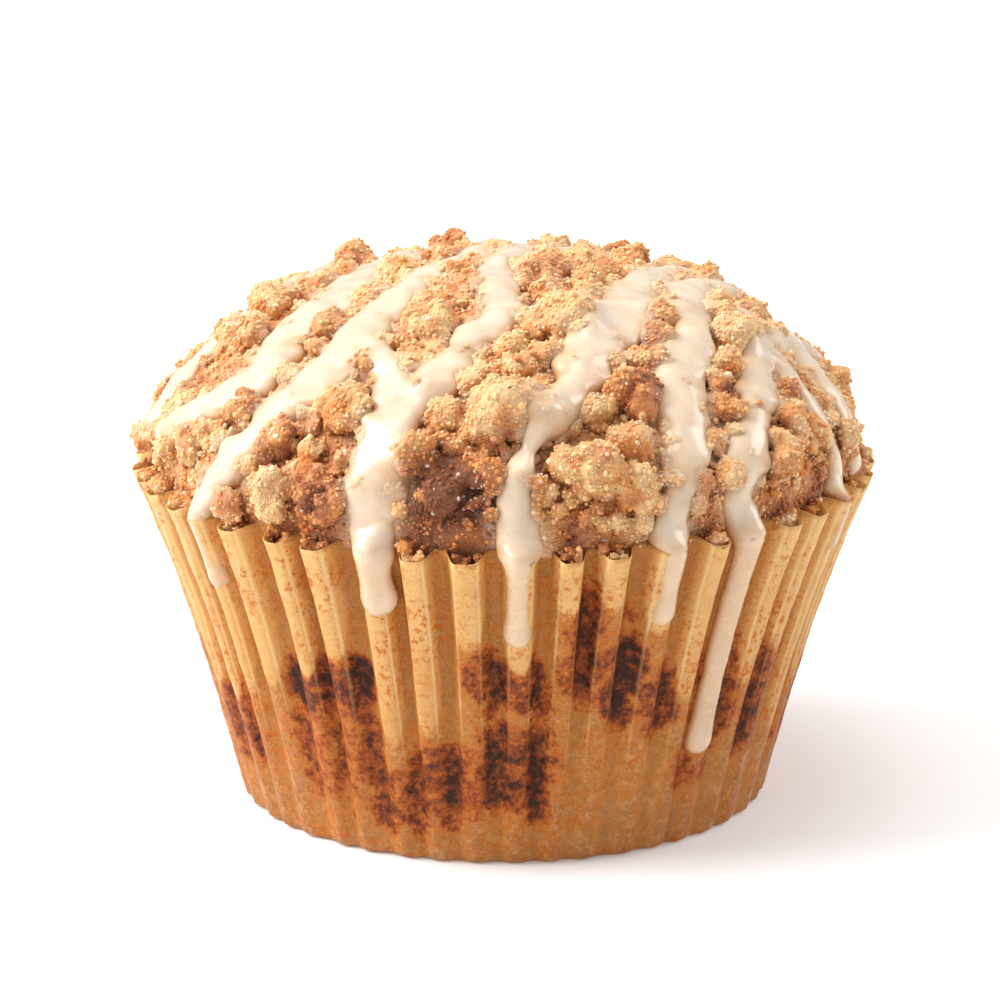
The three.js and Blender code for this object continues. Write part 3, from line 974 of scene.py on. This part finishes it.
class Nodes:
    """Short calls for building a material's nodes."""

    def __init__(self, name):
        self.material = bpy.data.materials.new(name)
        self.material.use_nodes = True
        self.tree = self.material.node_tree
        self.shader = self.tree.nodes["Principled BSDF"]
        self.place = self.tree.nodes.new("ShaderNodeTexCoord").outputs["Object"]

    def put(self, socket, source):
        """Gives an input a number, a display colour, or what another node puts out."""
        if isinstance(source, (int, float)):
            socket.default_value = source
        elif isinstance(source, tuple):
            socket.default_value = (*srgb(*source), 1)
        else:
            self.tree.links.new(source, socket)

    def add(self, kind, **inputs):
        node = self.tree.nodes.new("ShaderNode" + kind)
        for name, source in inputs.items():
            self.put(node.inputs[name], source)
        return node

    def noise(self, per_mm, detail=3.0, roughness=0.6):
        node = self.add("TexNoise", Vector=self.place, Scale=per_mm / MM, Detail=detail, Roughness=roughness)
        return node.outputs["Fac"]

    def cells(self, per_mm):
        return self.add("TexVoronoi", Vector=self.place, Scale=per_mm / MM).outputs["Distance"]

    def value(self, name, kind="Fac"):
        node = self.add("Attribute")
        node.attribute_name = name
        return node.outputs[kind]

    def ramp(self, source, *stops):
        """Maps a value to a number or a display colour by stops of (place, number or colour)."""
        node = self.add("ValToRGB", Fac=source)
        elements = node.color_ramp.elements
        while len(elements) < len(stops):
            elements.new(0.5)
        for element, (place, colour) in zip(elements, stops):
            element.position = place
            element.color = (*(srgb(*colour) if isinstance(colour, tuple) else (colour,) * 3), 1)
        return node.outputs["Color"]

    def maths(self, operation, first, second):
        node = self.add("Math")
        node.operation = operation
        self.put(node.inputs[0], first)
        self.put(node.inputs[1], second)
        return node.outputs["Value"]

    def plus(self, first, second):
        return self.maths("ADD", first, second)

    def less(self, first, second):
        return self.maths("SUBTRACT", first, second)

    def times(self, first, second):
        return self.maths("MULTIPLY", first, second)

    def mix(self, share, first, second, blend="MIX"):
        node = self.add("Mix")
        node.data_type = "RGBA"
        node.blend_type = blend
        for index, source in ((0, share), (6, first), (7, second)):
            self.put(node.inputs[index], source)
        return node.outputs[2]

    def bump(self, source, height_mm):
        node = self.add("Bump", Strength=1.0, Distance=height_mm * MM, Height=source)
        self.put(self.shader.inputs["Normal"], node.outputs["Normal"])

    def settings(self, values):
        """Sets the shader's inputs as they are given, and links those that other nodes put out."""
        for name, value in values.items():
            if isinstance(value, bpy.types.NodeSocket):
                self.tree.links.new(value, self.shader.inputs[name])
            else:
                self.shader.inputs[name].default_value = value


def crumb_material(name, grainy):
    """Baked crumb: tinted point by point, mottled finely, with a slight sugary gloss."""
    n = Nodes(name)
    fine = n.noise(2.6, 4.0, 0.7)
    mottle = n.ramp(fine, (0.28, 0.72), (0.5, 1.0), (0.75, 1.18))
    tint = n.mix(1.0, n.value("tint", "Color"), mottle, "MULTIPLY")
    specks = n.ramp(n.cells(1.1), (0.0, 1.0), (0.10, 1.0), (0.14, 0.0))
    rare = n.ramp(n.noise(0.7, 1.0), (0.60, 0.0), (0.66, 1.0))
    tint = n.mix(n.times(specks, rare), tint, (78, 38, 22))
    gloss = n.ramp(n.noise(1.6, 2.0), (0.3, 0.32), (0.7, 0.62))
    n.settings({"Base Color": tint, "Roughness": gloss, "Specular IOR Level": 0.38,
                "Subsurface Weight": 0.30, "Subsurface Radius": (1.0, 0.45, 0.2),
                "Subsurface Scale": 0.8 * MM})
    if grainy:
        n.bump(n.plus(n.noise(3.5, 4.0, 0.7), n.times(n.cells(2.2), -0.8)), 0.25)
    else:
        n.bump(n.noise(2.5, 2.0, 0.6), 0.08)
    return n.material


def icing_material():
    """Thin sugar icing: cream where it lies thick and tan where the cake shows through."""
    n = Nodes("icing")
    depth = n.value("depth")
    tint = n.ramp(depth, (0.0, (204, 150, 98)), (0.20, (216, 180, 140)), (0.48, (225, 200, 172)),
                  (0.9, (230, 210, 187)))
    cloud = n.ramp(n.noise(0.25, 2.0), (0.3, 0.90), (0.7, 1.0))
    gloss = n.ramp(n.noise(0.5, 2.0), (0.3, 0.16), (0.7, 0.34))
    n.settings({"Base Color": n.mix(1.0, tint, cloud, "MULTIPLY"), "Roughness": gloss,
                "Subsurface Weight": 0.40, "Subsurface Radius": (1.0, 0.7, 0.45),
                "Subsurface Scale": 1.4 * MM, "Coat Weight": 0.15, "Coat Roughness": 0.15})
    n.bump(n.noise(0.6, 2.0, 0.5), 0.06)
    return n.material


def paper_material():
    """Greaseproof paper: pale where a crest stands clear, mottled and stained where the cake sticks, with
    painted shade in the valleys, a painted glow of light through the flanks and a painted highlight along
    the crests.
    """
    n = Nodes("greaseproof_paper")
    pleat, height, stain, loose = n.value("pleat"), n.value("height"), n.value("stain"), n.value("loose")
    coarse, middle = n.noise(0.35, 4.0, 0.65), n.noise(0.9, 4.0, 0.7)
    fine, finest = n.noise(2.0, 3.0, 0.7), n.noise(4.5, 3.0, 0.7)
    clear = n.ramp(height, (0.3, (208, 152, 90)), (0.7, (218, 165, 101)), (1.0, (228, 179, 115)))
    clear = n.mix(n.ramp(coarse, (0.40, 0.0), (0.70, 0.45)), clear, (202, 138, 66))
    stuck = n.ramp(height, (0.0, (176, 122, 74)), (0.2, (184, 124, 68)), (0.6, (186, 124, 58)),
                   (1.0, (190, 128, 62)))
    stuck = n.mix(n.ramp(coarse, (0.38, 0.0), (0.62, 0.7)), stuck, (202, 114, 40))
    stuck = n.mix(n.ramp(middle, (0.48, 0.0), (0.66, 0.6)), stuck, (218, 166, 106))
    stuck = n.mix(n.ramp(fine, (0.36, 0.5), (0.50, 0.0)), stuck, (140, 80, 40))
    # Painted shade: the stuck paper is darker down in the pleats' valleys.
    valley_shade_colour = n.ramp(height, (0.0, (170, 114, 66)), (0.5, (164, 110, 56)), (1.0, (184, 124, 62)))
    stuck = n.mix(n.ramp(pleat, (0.60, 0.0), (0.95, 0.7)), stuck, valley_shade_colour)
    tint = n.mix(loose, stuck, clear)
    # Painted light: an orange glow on the pleats' flanks stands in for light shining through the paper.
    side = n.ramp(pleat, (0.12, 0.0), (0.40, 0.65), (0.65, 0.45), (0.95, 0.0))
    tint = n.mix(n.times(side, n.ramp(coarse, (0.3, 0.4), (0.7, 1.0))), tint, (212, 138, 60))
    curls = n.noise(1.3, 3.0, 0.75)
    freckles = n.times(n.ramp(curls, (0.53, 0.0), (0.58, 1.0)),
                       n.ramp(n.noise(0.14, 3.0), (0.42, 0.0), (0.56, 0.95)))
    tint = n.mix(freckles, tint, (196, 106, 28))
    loosely = n.less(1.0, n.times(loose, 0.85))
    ragged = n.plus(n.times(n.less(middle, 0.56), 2.2), n.times(n.less(fine, 0.5), 0.9))
    # Painted shade: the stains darken further in the pleats' valleys, on top of the cinnamon's own darkness.
    valley_shade = n.times(n.less(pleat, 0.45), 0.35)
    stain_and_shade = n.times(n.plus(n.plus(stain, ragged), valley_shade), loosely)
    stain_and_shade = n.times(stain_and_shade, n.ramp(stain, (0.02, 0.0), (0.22, 0.92)))
    colour = n.ramp(stain_and_shade, (0.15, (208, 116, 36)), (0.45, (170, 82, 28)), (0.75, (112, 52, 22)),
                    (1.0, (58, 28, 16)))
    tint = n.mix(n.ramp(stain_and_shade, (0.14, 0.0), (0.34, 0.85), (0.55, 1.0)), tint, colour)
    tint = n.mix(1.0, tint, n.ramp(finest, (0.30, 0.84), (0.70, 1.14)), "MULTIPLY")
    # Painted highlight: a thin pale line along each crest's flank, fainter low on the cup and over the
    # stains.
    edge = n.ramp(n.value("across"), (0.19, 0.0), (0.225, 1.0), (0.26, 0.0))
    edge = n.times(edge, n.ramp(height, (0.25, 0.0), (0.6, 0.75)))
    edge = n.times(edge, n.ramp(stain, (0.1, 1.0), (0.5, 0.3)))
    tint = n.mix(edge, tint, (242, 202, 144))
    gloss = n.ramp(n.noise(0.8, 3.0), (0.3, 0.28), (0.7, 0.48))
    n.settings({"Base Color": tint, "Roughness": gloss, "Specular IOR Level": 0.20,
                "Subsurface Weight": 0.12, "Subsurface Radius": (1.0, 0.5, 0.25),
                "Subsurface Scale": 1.0 * MM})
    rough_skin = n.times(n.plus(fine, n.times(finest, 0.4)), loosely)
    n.bump(n.plus(rough_skin, n.times(middle, 0.6)), 0.30)
    return n.material


def floor_material():
    n = Nodes("pale_floor")
    n.settings({"Base Color": (FLOOR_TONE, FLOOR_TONE, FLOOR_TONE, 1), "Roughness": 0.9,
                "Specular IOR Level": 0.1, "Emission Color": (1, 1, 1, 1), "Emission Strength": FLOOR_GLOW})
    return n.material


# ---- assemble ----

def finish_piece(obj, material, nodes):
    obj.data.materials.append(material)
    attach(obj, "root")
    if nodes:
        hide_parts(*nodes)


crumb_look = crumb_material("streusel", True)
body_look = crumb_material("crumb", True)
grain_look = crumb_material("streusel_grains", False)

finish_piece(make_cup(), paper_material(), ["paper_cup"])
finish_piece(make_body(), body_look, ["muffin_body"])

crumb_nodes = {name: [] for name in SECTORS}
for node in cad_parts:
    if node.startswith("streusel_crumb_"):
        low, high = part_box(node)
        centre = (low + high) / 2
        crumb_nodes[SECTORS[sector(centre.x, centre.y)]].append(node)
for part, name in enumerate(SECTORS):
    finish_piece(make_streusel(part), crumb_look, crumb_nodes[name])

icing_nodes = [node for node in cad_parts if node.startswith("icing_line_")]
finish_piece(make_icing(), icing_material(), icing_nodes)
finish_piece(make_grains(True, 61, GRAINS_FRONT), grain_look, [])
finish_piece(make_grains(False, 62, GRAINS_BACK), grain_look, [])


# ---- floor, light and camera, in metres and degrees ----

FLOOR_SIDE = 8.0
SKY = 0.50
LIGHT_TARGET = (0, 0, 0.03)
CAMERA_DISTANCE = 0.600
CAMERA_ELEVATION = 16.1
AIM_HEIGHT = 0.027
LENS = 218.7
LENS_SHIFT = (-0.0036, 0.0198)


def make_floor():
    mesh = bpy.data.meshes.new("floor")
    side = FLOOR_SIDE / 2
    corners = [(-side, -side, 0), (side, -side, 0), (side, side, 0), (-side, side, 0)]
    mesh.from_pydata(corners, [], [(0, 1, 2, 3)])
    obj = bpy.data.objects.new("floor", mesh)
    bpy.context.collection.objects.link(obj)
    mesh.materials.append(floor_material())
    obj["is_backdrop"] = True


def put_looking(name, data, place, direction):
    obj = bpy.data.objects.new(name, data)
    obj.location = place
    obj.rotation_mode = "QUATERNION"
    obj.rotation_quaternion = direction.to_track_quat("-Z", "Y")
    bpy.context.collection.objects.link(obj)
    return obj


def add_area_light(name, place, size, power):
    data = bpy.data.lights.new(name, "AREA")
    data.shape = "DISK"
    data.size = size
    data.energy = power
    put_looking(name, data, place, Vector(LIGHT_TARGET) - Vector(place))


def make_world(strength):
    world = bpy.data.worlds.new("studio")
    world.use_nodes = True
    background = world.node_tree.nodes["Background"]
    background.inputs["Color"].default_value = (1, 1, 1, 1)
    background.inputs["Strength"].default_value = strength
    bpy.context.scene.world = world


def make_camera():
    data = bpy.data.cameras.new("camera")
    data.lens = LENS
    data.sensor_width = 36.0
    data.shift_x, data.shift_y = LENS_SHIFT
    tilt = math.radians(CAMERA_ELEVATION)
    aim = Vector((0, 0, AIM_HEIGHT))
    back = Vector((0, -math.cos(tilt), math.sin(tilt)))
    bpy.context.scene.camera = put_looking("camera", data, aim + back * CAMERA_DISTANCE, -back)


make_floor()
make_world(SKY)
add_area_light("top", (-0.05, 0.00, 0.75), 0.45, 1.8)
add_area_light("left", (-0.60, -0.05, 0.54), 0.65, 8.9)
add_area_light("right", (0.55, 0.22, 0.38), 0.40, 1.8)
make_camera()
bpy.context.scene.view_settings.view_transform = "Standard"

low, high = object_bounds()
